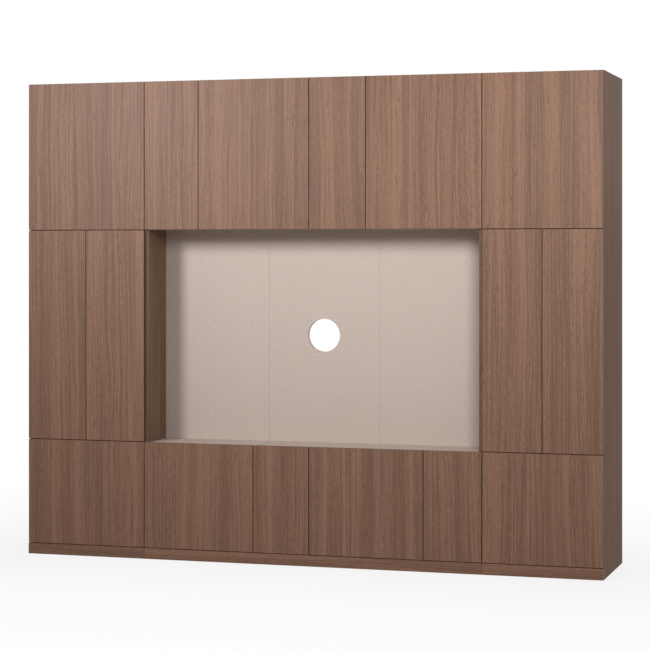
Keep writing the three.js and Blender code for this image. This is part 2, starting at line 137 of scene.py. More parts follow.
def setStops(ramp, stops):
    made = ramp.color_ramp.elements
    for number, (position, colour) in enumerate(stops):
        stop = made[number] if number < 2 else made.new(position)
        stop.position, stop.color = position, colour


# 1 for what the camera sees, also mirrored or through glass, and 0 for other light
def seenRays(tree):
    rays = addNode(tree, "ShaderNodeLightPath").outputs
    seen = rays["Is Camera Ray"]
    for kind in ("Is Glossy Ray", "Is Transmission Ray"):
        seen = addNode(tree, "ShaderNodeMath", {0: seen, 1: rays[kind]}, operation="MAXIMUM").outputs[0]
    return seen


def objectFrom(content, name):
    made = bpy.data.objects.new(name, content)
    bpy.context.scene.collection.objects.link(made)
    return made


eye = bpy.data.cameras.new("eye")
eye.lens = cameraSet["lens"]
eye.sensor_width = cameraSet["sensor"]
eye.shift_y = cameraSet["shiftUp"]
eye.clip_end = cameraSet["seesTo"]
eyeObject = objectFrom(eye, "eye")
eyeObject.location = cameraSet["place"]
eyeObject.rotation_euler = (math.radians(90), 0, math.radians(cameraSet["turn"]))
bpy.context.scene.camera = eyeObject
bpy.context.scene.view_settings.view_transform = "Standard"

for lampName, (place, target, width, height, spread, watts) in lampSet.items():
    lamp = bpy.data.lights.new(lampName, "AREA")
    lamp.shape = "RECTANGLE"
    lamp.size = width
    lamp.size_y = height
    lamp.spread = math.radians(spread)
    lamp.energy = watts
    lampObject = objectFrom(lamp, lampName)
    lampObject.location = place
    lampObject.visible_camera = False
    lampObject.rotation_euler = (Vector(target) - Vector(place)).to_track_quat("-Z", "Y").to_euler()

world = bpy.data.worlds.new("whiteRoom")
bpy.context.scene.world = world
tree = emptyTree(world)
shade = addNode(tree, "ShaderNodeMix",
                {0: seenRays(tree), 6: worldSet["light"], 7: worldSet["shown"]}, data_type="RGBA")
sky = addNode(tree, "ShaderNodeBackground", {"Color": shade.outputs[2]})
addNode(tree, "ShaderNodeOutputWorld", {"Surface": sky})

floorFinish, tree = newFinish("matteWhiteFloor")
place = addNode(tree, "ShaderNodeTexCoord").outputs["Object"]
away = addNode(tree, "ShaderNodeVectorMath", {0: place}, operation="ABSOLUTE")
away = addNode(tree, "ShaderNodeVectorMath", {0: away, 1: (*floorSet["footprint"], 0)},
               operation="SUBTRACT")
away = addNode(tree, "ShaderNodeVectorMath", {0: away, 1: (0, 0, 0)}, operation="MAXIMUM")
away = addNode(tree, "ShaderNodeVectorMath", {0: away}, operation="LENGTH")
away = addNode(tree, "ShaderNodeMath", {0: away.outputs["Value"], 1: floorSet["fade"]},
               operation="DIVIDE")
glow = addNode(tree, "ShaderNodeValToRGB", {0: away})
setStops(glow, [(position, (level, level, level, 1)) for position, level in floorSet["glow"]])
share = addNode(tree, "ShaderNodeMath", {0: seenRays(tree), 1: glow}, operation="MULTIPLY")
matte = addNode(tree, "ShaderNodeBsdfDiffuse", {"Color": linear(floorSet["colour"])})
white = addNode(tree, "ShaderNodeEmission", {"Color": (1, 1, 1, 1), "Strength": 1.0})
mixed = addNode(tree, "ShaderNodeMixShader", {0: share, 1: matte, 2: white})
addNode(tree, "ShaderNodeOutputMaterial", {"Surface": mixed})

half = floorSet["size"] / 2
floorMesh = bpy.data.meshes.new("floor")
corners = [(-half, -half, 0), (half, -half, 0), (half, half, 0), (-half, half, 0)]
floorMesh.from_pydata(corners, [], [(0, 1, 2, 3)])
floorMesh.materials.append(floorFinish)
floor = objectFrom(floorMesh, "floor")
floor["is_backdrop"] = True
print("camera, lamps and floor made")

# Finishes

walnutLook = {
    "light": "#876552",
    "middle": "#795946",
    "dark": "#694e40",
    "pore": "#523d2f",
    "stops": {"dark": 0.22, "light": 0.78, "middle": 0.5},  # where each lies in the sum of the layers
    # layers of the print: width across and length along the grain in metres, detail, the noise
    # levels between which it goes from dark to light, and its share
    "broad": {"band": (0.07, 3.5, 0.5, 0.0, 1.0, 0.85), "streak": (0.018, 2.6, 1.5, 0.3, 0.7, 0.26)},
    "fine": {"line": (0.0068, 1.5, 1.0, 0.4, 0.6, 0.38), "vein": (0.006, 0.2, 1.5, 0.0, 1.0, 0.62),
             "fibre": (0.0036, 0.03, 1.5, 0.0, 1.0, 0.9)},
    "turn": 0.38,  # of each layer's pattern, in its own stretched units, so that its rows don't line up
    "noiseRoughness": 0.55,
    # noise levels of dark and light streaks, and strength of the fine layers there
    "busy": (0.3, 0.7, 1.7, 0.5),
    "pores": (0.0014, 0.03, 1.0),  # width, length, detail
    "poreDepth": (0.6, 0.74, 0.6),  # noise levels where a pore starts and is deepest, and how dark then
    "roughness": 0.52,
    "sheen": (-0.06, 0.08),  # what the fibres take from the roughness and add to it
    "relief": (0.35, 0.00015),  # strength, and depth in metres
    "reflection": 0.3,
}
# The outer sides use a darker copy of the door print with less reflection; the darker colour is painted
# shade, as these sides get less light than the fronts
shadedSideLook = {**walnutLook, "light": "#7a5843", "middle": "#704f3c", "dark": "#634431", "pore": "#523829",
            "roughness": 0.6, "reflection": 0.12}
# The niche's cheeks, of the same print as the doors, are tinted a little more olive: painted light,
# standing for the tint of the light inside the niche
cheekPaintedLightLook = {**walnutLook, "light": "#846852", "middle": "#765c46", "dark": "#654e3e", "pore": "#4e3b2c"}
# The edge bands of doors, cheeks and plinths, of the same print, are made darker than their faces:
# painted shade, standing for the shade in the gaps and recesses that these edges line
shadedBandLook = {**walnutLook, "light": "#6a4e3f", "middle": "#5f4435", "dark": "#523c31", "pore": "#402e23"}
# How far the grain runs aside: in slow waves, and closer together round small knots
bendSet = {
    # width across and length along the grain in metres, detail, and reach to each side in metres
    "wave": (0.35, 1.8, 1.5, 0.032),
    "knot": (0.075, 0.5, 1.5, 0.01),
}
# Dark strokes where a twig left the trunk, each leaning its own way
twigSet = {
    "cell": (0.12, 0.4),  # one stroke or none in each, across and along the grain, in metres
    "half": (0.0042, 0.045),
    "lean": 0.35,
    "absent": 0.45,
    "strength": 0.95,
}


# A flat noise stretched to a width across and a length along the grain, in metres
def stretchedNoise(tree, place, width, length, detail, roughness=0.5, turn=0.0):
    stretch = addNode(tree, "ShaderNodeMapping",
                      {"Vector": place, "Scale": (1 / width, 1 / length, 1), "Rotation": (0, 0, turn)})
    return addNode(tree, "ShaderNodeTexNoise",
                   {"Vector": stretch, "Scale": 1, "Detail": detail, "Roughness": roughness},
                   noise_dimensions="2D").outputs[0]


# A colour ramp between the tones of a look
def toned(tree, level, look):
    ramp = addNode(tree, "ShaderNodeValToRGB", {0: level})
    setStops(ramp, [(position, linear(look[tone])) for tone, position in look["stops"].items()])
    return ramp


# The surface of a finish, with its relief: the height's source, a strength, and a depth in metres
def coat(tree, inputs, height, strength, depth):
    bump = addNode(tree, "ShaderNodeBump", {"Height": height, "Strength": strength, "Distance": depth})
    surface = addNode(tree, "ShaderNodeBsdfPrincipled", {**inputs, "Normal": bump})
    addNode(tree, "ShaderNodeOutputMaterial", {"Surface": surface})


# Chipboard faced with a printed walnut paper under clear melamine, pressed against a satin plate:
# straight grain in soft bands, finer streaks in them, short pores, and a broad low sheen
def walnutMelamine(name, look):
    finish, tree = newFinish(name)
    grain = addNode(tree, "ShaderNodeUVMap", uv_map="grain").outputs["UV"]
    wavy = grain
    for width, length, detail, reach in bendSet.values():
        wave = stretchedNoise(tree, grain, width, length, detail)
        drift = addNode(tree, "ShaderNodeMapRange", {"Value": wave, "To Min": -reach, "To Max": reach})
        sideways = addNode(tree, "ShaderNodeCombineXYZ", {0: drift})
        wavy = addNode(tree, "ShaderNodeVectorMath", {0: wavy, 1: sideways}).outputs[0]

    made = {}
    sums = {"broad": 0.5, "fine": 0.0}
    for group in sums:
        for layer, (width, length, detail, low, high, part) in look[group].items():
            made[layer] = stretchedNoise(tree, wavy, width, length, detail, look["noiseRoughness"],
                                         look["turn"])
            centred = addNode(tree, "ShaderNodeMapRange",
                              {"Value": made[layer], "From Min": low, "From Max": high, "To Min": -0.5,
                               "To Max": 0.5})
            sums[group] = addNode(tree, "ShaderNodeMath", {0: centred, 1: part, 2: sums[group]},
                                  operation="MULTIPLY_ADD").outputs[0]
    dark, light, most, least = look["busy"]
    busy = addNode(tree, "ShaderNodeMapRange",
                   {"Value": made["streak"], "From Min": dark, "From Max": light, "To Min": most,
                    "To Max": least})
    total = addNode(tree, "ShaderNodeMath", {0: sums["fine"], 1: busy, 2: sums["broad"]},
                    operation="MULTIPLY_ADD")

    wide, tall = twigSet["cell"]
    spread = addNode(tree, "ShaderNodeMapping", {"Vector": wavy, "Scale": (1 / wide, 1 / tall, 1)})
    cells = addNode(tree, "ShaderNodeTexVoronoi", {"Vector": spread, "Scale": 1},
                    voronoi_dimensions="2D")
    local = addNode(tree, "ShaderNodeVectorMath", {0: spread, 1: cells.outputs["Position"]},
                    operation="SUBTRACT")
    local = addNode(tree, "ShaderNodeSeparateXYZ", {0: local})
    chance = addNode(tree, "ShaderNodeSeparateColor", {0: cells.outputs["Color"]})
    steepest = twigSet["lean"] * tall / wide
    lean = addNode(tree, "ShaderNodeMapRange",
                   {"Value": chance, "To Min": -steepest, "To Max": steepest})
    across = addNode(tree, "ShaderNodeMath", {0: local.outputs["Y"], 1: lean, 2: local.outputs["X"]},
                     operation="MULTIPLY_ADD")
    spot = addNode(tree, "ShaderNodeCombineXYZ", {0: across, 1: local.outputs["Y"]})
    spot = addNode(tree, "ShaderNodeVectorMath",
                   {0: spot, 1: (wide / twigSet["half"][0], tall / twigSet["half"][1], 0)},
                   operation="MULTIPLY")
    spot = addNode(tree, "ShaderNodeVectorMath", {0: spot}, operation="LENGTH")
    stroke = addNode(tree, "ShaderNodeMapRange",
                     {"Value": spot.outputs["Value"], "To Min": twigSet["strength"], "To Max": 0.0},
                     interpolation_type="SMOOTHSTEP")
    present = addNode(tree, "ShaderNodeMath", {0: chance.outputs[1], 1: twigSet["absent"]},
                      operation="GREATER_THAN")
    stroke = addNode(tree, "ShaderNodeMath", {0: stroke, 1: present}, operation="MULTIPLY")

    pores = stretchedNoise(tree, wavy, *look["pores"], turn=look["turn"])
    shallow, deepest, darkest = look["poreDepth"]
    deep = addNode(tree, "ShaderNodeMapRange",
                   {"Value": pores, "From Min": shallow, "From Max": deepest, "To Min": 0,
                    "To Max": darkest})
    marked = addNode(tree, "ShaderNodeMath", {0: deep, 1: stroke}, operation="MAXIMUM")
    colour = addNode(tree, "ShaderNodeMix",
                     {0: marked, 6: toned(tree, total, look), 7: linear(look["pore"])}, data_type="RGBA")
    smoother, rougher = look["sheen"]
    gloss = addNode(tree, "ShaderNodeMapRange",
                    {"Value": made["fibre"], "To Min": look["roughness"] + smoother,
                     "To Max": look["roughness"] + rougher})
    relief = addNode(tree, "ShaderNodeMath", {0: made["fibre"], 1: deep}, operation="SUBTRACT")
    coat(tree, {"Base Color": colour.outputs[2], "Roughness": gloss,
                "Specular IOR Level": look["reflection"]}, relief, *look["relief"])
    return finish


# Chipboard faced with a printed linen paper under matt melamine. The threads of such paper are
# about 0.6 mm wide, and are drawn coarser here so that they show
linenLook = {
    "light": "#c6b9b2",
    "dark": "#af9e94",
    "stops": {"dark": 0.3, "light": 0.7},
    "threadWidth": 0.0026,
    "slubLength": 0.014,
    "threadDetail": 2,
    "cloud": 0.35,
    "cloudDetail": 3,
    "cloudShare": 0.04,
    "roughness": 0.62,
    "relief": (0.3, 0.0002),  # strength, and depth in metres
}


def linenMelamine(name, look):
    finish, tree = newFinish(name)
    grain = addNode(tree, "ShaderNodeUVMap", uv_map="grain").outputs["UV"]
    width, length = look["threadWidth"], look["slubLength"]
    threads = [stretchedNoise(tree, grain, *size, look["threadDetail"])
               for size in ((width, length), (length, width))]
    weave = addNode(tree, "ShaderNodeMath", {0: threads[0], 1: threads[1]}, operation="ADD")
    weave = addNode(tree, "ShaderNodeMath", {0: weave, 1: 0.5}, operation="MULTIPLY")
    cloud = addNode(tree, "ShaderNodeTexNoise",
                    {"Vector": grain, "Scale": 1 / look["cloud"], "Detail": look["cloudDetail"]},
                    noise_dimensions="2D")
    both = addNode(tree, "ShaderNodeMix", {0: look["cloudShare"], 2: weave, 3: cloud})
    coat(tree, {"Base Color": toned(tree, both, look), "Roughness": look["roughness"]}, weave,
         *look["relief"])
    return finish


# Finishes of one colour with a fine speckle: name: two colours, grain size in metres, roughness,
# metallic, and depth of the relief in metres
plainLooks = {
    # Sawn chipboard under the laminate: pale and dark flakes, dull
    "rawChipboard": ("#bd9c77", "#92704e", 0.006, 0.9, 0.0, 0.0004),
    # Pressed wood fibre with one smooth side, brown and dull
    "hardboard": ("#8a6a4e", "#7b5d44", 0.007, 0.75, 0.0, 0.0001),
    # Bright nickel over stamped steel: soft mirror with faint press marks
    "nickelPlatedSteel": ("#cbc8c1", "#c1beb6", 0.003, 0.26, 1.0, 0.00002),
    # Screws in clear zinc plate: bluish and a little duller
    "zincPlatedSteel": ("#b2b6bb", "#a3a7ac", 0.002, 0.36, 1.0, 0.00003),
    # Moulded ABS with an eroded mould skin
    "blackAbs": ("#2a2a2b", "#1b1b1c", 0.0009, 0.5, 0.0, 0.00006),
    "greyAbs": ("#a9a8a4", "#979692", 0.0009, 0.48, 0.0, 0.00006),
    # Turned acetal tip, waxy white
    "whiteAcetal": ("#e4e2dc", "#d5d3cd", 0.0012, 0.38, 0.0, 0.00002),
    # Pressed covers over the cam fittings
    "beigePolystyrene": ("#c9b8a8", "#bdab9b", 0.0009, 0.5, 0.0, 0.00004),
    # Cast silicone dots that stop a door from clapping
    "clearSilicone": ("#dcdcd8", "#cfcfcb", 0.0012, 0.3, 0.0, 0.00002),
}
speckleSet = {
    "detail": 5,
    "noiseRoughness": 0.65,
    "stops": (0.38, 0.62),  # noise levels of the second and the first colour
    "sheen": 0.05,
    "reliefStrength": 0.5,
}


def speckled(name, look):
    first, second, grainSize, roughness, metallic, depth = look
    finish, tree = newFinish(name)
    place = addNode(tree, "ShaderNodeTexCoord").outputs["Object"]
    noise = addNode(tree, "ShaderNodeTexNoise",
                    {"Vector": place, "Scale": 1 / grainSize, "Detail": speckleSet["detail"],
                     "Roughness": speckleSet["noiseRoughness"]})
    ramp = addNode(tree, "ShaderNodeValToRGB", {0: noise})
    setStops(ramp, list(zip(speckleSet["stops"], (linear(second), linear(first)))))
    sheen = speckleSet["sheen"]
    dull = addNode(tree, "ShaderNodeMapRange",
                   {"Value": noise, "To Min": roughness - sheen, "To Max": roughness + sheen})
    coat(tree, {"Base Color": ramp, "Roughness": dull, "Metallic": metallic}, noise,
         speckleSet["reliefStrength"], depth)
    return finish


walnutFinish = walnutMelamine("walnutMelamine", walnutLook)
shadedSideFinish = walnutMelamine("walnutSideMelamine", shadedSideLook)
cheekPaintedLightFinish = walnutMelamine("walnutCheekMelamine", cheekPaintedLightLook)
shadedBandFinish = walnutMelamine("walnutEdgeBand", shadedBandLook)
linenFinish = linenMelamine("linenMelamine", linenLook)
plain = {name: speckled(name, look) for name, look in plainLooks.items()}
nickel, zinc = plain["nickelPlatedSteel"], plain["zincPlatedSteel"]
print("finishes made:", 5 + len(plain))

# Helpers for shapes

sharpFrom = 35  # degrees between two faces whose edge stays sharp
joinWithin = 0.01 * mm
roundingSteps = 2  # rows of faces across a rounded edge


def meshFrom(bm, name):
    mesh = bpy.data.meshes.new(name)
    bm.to_mesh(mesh)
    bm.free()
    return mesh


# The piece's modifiers become its mesh
def applied(piece):
    bpy.context.view_layer.update()
    made = piece.evaluated_get(bpy.context.evaluated_depsgraph_get())
    mesh = bpy.data.meshes.new_from_object(made)
    piece.modifiers.clear()
    old = piece.data
    piece.data = mesh
    bpy.data.meshes.remove(old)
    mesh.name = piece.name


# The block is made apart, because bevelling leaves the order of faces that are added later to chance
def addBlock(bm, low, high, rounding=0):
    block = bmesh.new()
    for corner in bmesh.ops.create_cube(block, size=1)["verts"]:
        corner.co = [high[i] if corner.co[i] > 0 else low[i] for i in range(3)]
    if rounding:
        bmesh.ops.bevel(block, geom=block.edges[:], offset=rounding, segments=roundingSteps,
                        profile=0.5, affect="EDGES")
    mesh = meshFrom(block, "block")
    bm.from_mesh(mesh)
    bpy.data.meshes.remove(mesh)


def addRod(bm, start, end, radius, sides):
    start, end = Vector(start), Vector(end)
    turn = (end - start).to_track_quat("Z", "Y").to_matrix().to_4x4()
    place = Matrix.Translation((start + end) / 2) @ turn
    bmesh.ops.create_cone(bm, cap_ends=True, segments=sides, radius1=radius, radius2=radius,
                          depth=(end - start).length, matrix=place)


def fitBoard(board, body, node):
    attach(board, body)
    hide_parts(node)


# Trees that put copies on points


# A new tree with its inputs, each given as its first number or else as the kind of its socket
def newTree(name, inputs):
    tree = bpy.data.node_groups.new(name, "GeometryNodeTree")
    sockets = {"Points": "Geometry", "Roll": 0.0, "Seed": 1, **inputs, "Material": "Material"}
    for label, value in sockets.items():
        kind = {float: "Float", int: "Int"}.get(type(value), value)
        socket = tree.interface.new_socket(label, in_out="INPUT", socket_type=f"NodeSocket{kind}")
        if kind != value:
            socket.default_value = value
    tree.interface.new_socket("Mesh", in_out="OUTPUT", socket_type="NodeSocketGeometry")
    return tree, addNode(tree, "NodeGroupInput").outputs


# A copy of the shape on every point, its Z turned to where the point faces and rolled at random
def endTree(tree, given, shape):
    facing = addNode(tree, "GeometryNodeInputNamedAttribute", {"Name": "facing"},
                     data_type="FLOAT_VECTOR")
    aligned = addNode(tree, "FunctionNodeAlignRotationToVector", {"Vector": facing}, axis="Z")
    roll = addNode(tree, "FunctionNodeRandomValue",
                   {"Max": given["Roll"], "Seed": given["Seed"], "Min": 0.0}, data_type="FLOAT")
    turn = addNode(tree, "FunctionNodeAxisAngleToRotation",
                   {"Angle": roll.outputs["Value"], "Axis": (0, 0, 1)})
    rolled = addNode(tree, "FunctionNodeRotateRotation", {"Rotation": aligned, "Rotate By": turn},
                     rotation_space="LOCAL")
    copies = addNode(tree, "GeometryNodeInstanceOnPoints",
                     {"Points": given["Points"], "Instance": shape, "Rotation": rolled})
    real = addNode(tree, "GeometryNodeRealizeInstances", {"Geometry": copies})
    coated = addNode(tree, "GeometryNodeSetMaterial", {"Geometry": real, "Material": given["Material"]})
    addNode(tree, "NodeGroupOutput", {"Mesh": coated})


# Copies of any shape that the script has made
copyTree, given = newTree("copiesOfShape", {"Shape": "Object"})
shape = addNode(copyTree, "GeometryNodeObjectInfo", {"Object": given["Shape"], "As Instance": True})
endTree(copyTree, given, shape.outputs["Geometry"])

# Rods that start under the surface they stand on, for holes
rodTree, given = newTree("rods", {
    "Radius": 0.0025, "Under": 0.01, "Over": 0.001, "Sides": 12})
length = addNode(rodTree, "ShaderNodeMath", {0: given["Under"], 1: given["Over"]}, operation="ADD")
excess = addNode(rodTree, "ShaderNodeMath", {0: given["Over"], 1: given["Under"]}, operation="SUBTRACT")
middle = addNode(rodTree, "ShaderNodeMath", {0: excess, 1: 0.5}, operation="MULTIPLY")
lift = addNode(rodTree, "ShaderNodeCombineXYZ", {"Z": middle})
rod = addNode(rodTree, "GeometryNodeMeshCylinder",
              {"Vertices": given["Sides"], "Radius": given["Radius"], "Depth": length})
rod = addNode(rodTree, "GeometryNodeTransform", {"Geometry": rod.outputs["Mesh"], "Translation": lift})
endTree(rodTree, given, rod.outputs[0])

# Screw heads with a cross recess, each left at its own turn by the driver
screwTree, given = newTree("crossHeadScrews", {
    "Head Radius": 0.0036, "Head Height": 0.0012, "Top Share": 0.8, "Slot Length": 0.0042,
    "Slot Width": 0.0009, "Slot Depth": 0.0009, "Sides": 20, "Roll": 1.57})
top = addNode(screwTree, "ShaderNodeMath", {0: given["Head Radius"], 1: given["Top Share"]},
              operation="MULTIPLY")
head = addNode(screwTree, "GeometryNodeMeshCone",
               {"Vertices": given["Sides"], "Radius Top": top, "Radius Bottom": given["Head Radius"],
                "Depth": given["Head Height"]}).outputs["Mesh"]
twice = addNode(screwTree, "ShaderNodeMath", {0: given["Slot Depth"], 1: 2.0}, operation="MULTIPLY")
size = addNode(screwTree, "ShaderNodeCombineXYZ",
               {"X": given["Slot Length"], "Y": given["Slot Width"], "Z": twice})
lift = addNode(screwTree, "ShaderNodeCombineXYZ", {"Z": given["Head Height"]})
for quarter in (0, math.pi / 2):
    slot = addNode(screwTree, "GeometryNodeMeshCube", {"Size": size})
    slot = addNode(screwTree, "GeometryNodeTransform",
                   {"Geometry": slot.outputs["Mesh"], "Translation": lift, "Rotation": (0, 0, quarter)})
    head = addNode(screwTree, "GeometryNodeMeshBoolean", {0: head, 1: slot},
                   operation="DIFFERENCE").outputs["Mesh"]
endTree(screwTree, given, head)


# The mesh that a tree makes of points, given as pairs of a place and the way that it faces
def grown(name, tree, points, values, finish=None, body=None):
    mesh = bpy.data.meshes.new(name)
    mesh.from_pydata([place for place, way in points], [], [])
    facing = mesh.attributes.new("facing", "FLOAT_VECTOR", "POINT")
    facing.data.foreach_set("vector", [part for place, way in points for part in way])
    piece = objectFrom(mesh, name)
    growth = piece.modifiers.new("growth", "NODES")
    growth.node_group = tree
    values = {**values, "Material": finish}
    for item in tree.interface.items_tree:
        if item.item_type == "SOCKET" and item.in_out == "INPUT" and values.get(item.name) is not None:
            growth[item.identifier] = values[item.name]
    applied(piece)
    piece.data.polygons.foreach_set("use_smooth", [True] * len(piece.data.polygons))
    piece.data.set_sharp_from_angle(angle=math.radians(sharpFrom))
    if body:
        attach(piece, body)
    return piece


def addHoles(bm, points, radius, under, over, sides):
    holes = grown("holes", rodTree, points,
                  {"Radius": radius, "Under": under, "Over": over, "Sides": sides})
    bm.from_mesh(holes.data)
    bpy.data.objects.remove(holes)


# Copies of a shape, which build adds to a bmesh, as one piece
def copied(name, points, finish, body, build, *details):
    bm = bmesh.new()
    build(bm, *details)
    bmesh.ops.recalc_face_normals(bm, faces=bm.faces[:])
    shape = objectFrom(meshFrom(bm, name + "Shape"), name + "Shape")
    piece = grown(name, copyTree, points, {"Shape": shape}, finish, body)
    bpy.data.objects.remove(shape)
    return piece


def arc(middle, radius, first, last, steps):
    spots = []
    for step in range(steps + 1):
        angle = math.radians(first + (last - first) * step / steps)
        spots.append((middle[0] + radius * math.cos(angle), middle[1] + radius * math.sin(angle)))
    return spots


# Rings joined in order and closed at both ends, all with as many corners, or with one
def addLoft(bm, rings):
    made = [[bm.verts.new(spot) for spot in ring] for ring in rings]
    for lower, upper in zip(made, made[1:]):
        for step in range(max(len(lower), len(upper))):
            corners = [lower[step % len(lower)], lower[(step + 1) % len(lower)],
                       upper[(step + 1) % len(upper)], upper[step % len(upper)]]
            bm.faces.new(list(dict.fromkeys(corners)))
    for ring in (made[0], made[-1]):
        if len(ring) > 1:
            bm.faces.new(ring)


# A profile turned round the line that leaves place in the way given. The shape is a number of sides
# and pairs of radius and rise in millimetres
def addTurned(bm, shape, place=(0, 0, 0), way=(0, 0, 1)):
    turn = Vector(way).to_track_quat("Z", "Y").to_matrix()
    sides, profile = shape
    rings = []
    for radius, rise in profile:
        spots = arc((0, 0), radius * mm, 0, 360, sides)[:-1] if radius else [(0, 0)]
        rings.append([Vector(place) + turn @ Vector((x, y, rise * mm)) for x, y in spots])
    addLoft(bm, rings)


# Boards

boardSet = {
    "thickness": 18 * mm,
    "carcassFront": frontPlane + 20 * mm,
    "rounding": 0.6 * mm,
    "backRounding": 0.2 * mm,
    "edgeReach": 0.8 * mm,  # a face this near an outer plane belongs to that side of the board
    "sheet": 30,  # metres of printed sheet, each way, that boards are cut from
    "shifts": (3.7, 1.9),  # on the sheet, from one axis to the next and to a board's far side
}
axes = {"x": 0, "y": 1, "z": 2}


# One rounded board. grain is the axis its print runs along; bare names the sides without an edge
# band; cuts is a mesh of closed solids to take out, whose walls show the bare board; bands tells the
# sides whose edge band has a finish of its own, and that finish
def makeBoard(name, low, high, grain, finish, bareFinish=plain["rawChipboard"], bare=(), cuts=None,
              rounding=boardSet["rounding"], bands=None):
    bm = bmesh.new()
    addBlock(bm, low, high, rounding)
    board = objectFrom(meshFrom(bm, name), name)
    if cuts:
        cutter = objectFrom(cuts, name + "Cuts")
        cut = board.modifiers.new("cut", "BOOLEAN")
        cut.operation = "DIFFERENCE"
        cut.solver = "EXACT"
        cut.object = cutter
        applied(board)
        bpy.data.objects.remove(cutter)
    mesh = board.data
    mesh.materials.clear()
    mesh.materials.append(finish)
    mesh.materials.append(bareFinish)
    bandSides, band = bands or ((), None)
    if band:
        mesh.materials.append(band)

    # Each side is laid on its own part of the printed sheet, in metres, with the grain along v
    draw = random.Random(name)
    shift = (draw.uniform(0, boardSet["sheet"]), draw.uniform(0, boardSet["sheet"]))
    axisShift, farShift = boardSet["shifts"]
    sheet = mesh.uv_layers.new(name="grain")
    along = axes[grain]
    reach = boardSet["edgeReach"]
    for face in mesh.polygons:
        normal = face.normal
        side = max(range(3), key=lambda i: abs(normal[i]))
        others = [i for i in range(3) if i != side]
        v = along if along in others else max(others, key=lambda i: high[i] - low[i])
        u = sum(others) - v
        extra = axisShift * side + (farShift if normal[side] > 0 else 0)
        for loop in face.loop_indices:
            point = mesh.vertices[mesh.loops[loop].vertex_index].co
            sheet.data[loop].uv = (point[u] + shift[0] + extra, point[v] + shift[1])
        plane = high[side] if normal[side] > 0 else low[side]
        sideName = ("+" if normal[side] > 0 else "-") + "xyz"[side]
        covered = abs(face.center[side] - plane) < reach and sideName not in bare
        face.material_index = 0 if covered else 1
        if covered and sideName in bandSides:
            face.material_index = 2
    return board


# Doors: each is a rounded board with cups bored into its back near the hinge edge

hingeSet = {
    "endDistance": 90 * mm,
    "threeFrom": 900 * mm,  # taller doors have a third hinge
    "cupFromEdge": 22 * mm,
    "cupRadius": 17.5 * mm,
    "cupDepth": 12.5 * mm,
    "bore": (0.1 * mm, 0.3 * mm, 2 * mm),  # wider and deeper than the cup, and past the door's back
    # pairs of radius and rise from the door's front, in millimetres
    "cup": [(0, 5.5), (16.9, 5.5), (17.5, 6.1), (17.5, 19.4), (16.7, 19.4), (16.7, 7.1), (15.9, 6.3),
            (0, 6.3)],
    "flange": 1.4 * mm,
    "flangeRoll": 0.3 * mm,
    "rim": 1.6 * mm,
    "wingOffset": 9.5 * mm,
    "wingWidth": 16 * mm,
    "wingLength": 62 * mm,
    "screwRise": 24 * mm,
    "sides": 40,
    "rimSteps": 32,
    "wingSteps": 10,
}
doorSet = {
    "thickness": 18 * mm,
    "rounding": 0.8 * mm,
    "trim": 0.4 * mm,  # each edge stands back by this, as a gap looks wider than its least width
}
doorBack = frontPlane + doorSet["thickness"]

wider, deeper, past = hingeSet["bore"]
doors = []
for joint in frame["joints"]:
    low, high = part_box(joint["child"])
    inward = 1 if joint["axis"][2] < 0 else -1  # from the hinge edge to the door's middle, along X
    edge = low.x if inward > 0 else high.x
    first, last = low.z + hingeSet["endDistance"], high.z - hingeSet["endDistance"]
    heights = [first, last]
    if high.z - low.z > hingeSet["threeFrom"]:
        heights.insert(1, (first + last) / 2)
    doors.append({"name": joint["child"], "low": low, "high": high, "inward": inward, "edge": edge,
                  "cup": edge + inward * hingeSet["cupFromEdge"], "heights": heights})

for door in doors:
    trim = Vector((doorSet["trim"], 0, doorSet["trim"]))
    low, high = door["low"] + trim, door["high"] - trim
    high.y = doorBack
    bm = bmesh.new()
    addHoles(bm, [((door["cup"], doorBack, z), (0, 1, 0)) for z in door["heights"]],
             hingeSet["cupRadius"] + wider, hingeSet["cupDepth"] + deeper, past, hingeSet["sides"])
    # Door edges take the darker band, which is painted shade in the gaps round the doors
    board = makeBoard(door["name"] + "_board", low, high, "z", walnutFinish, cuts=meshFrom(bm, "bores"),
                      rounding=doorSet["rounding"], bands=(("-x", "+x", "-z", "+z"), shadedBandFinish))
    fitBoard(board, door["name"], door["name"])
print("doors made:", len(doors))

# Uprights: 1 where the board stands at the low end of its box along X and looks inwards to the high
# end, or else -1

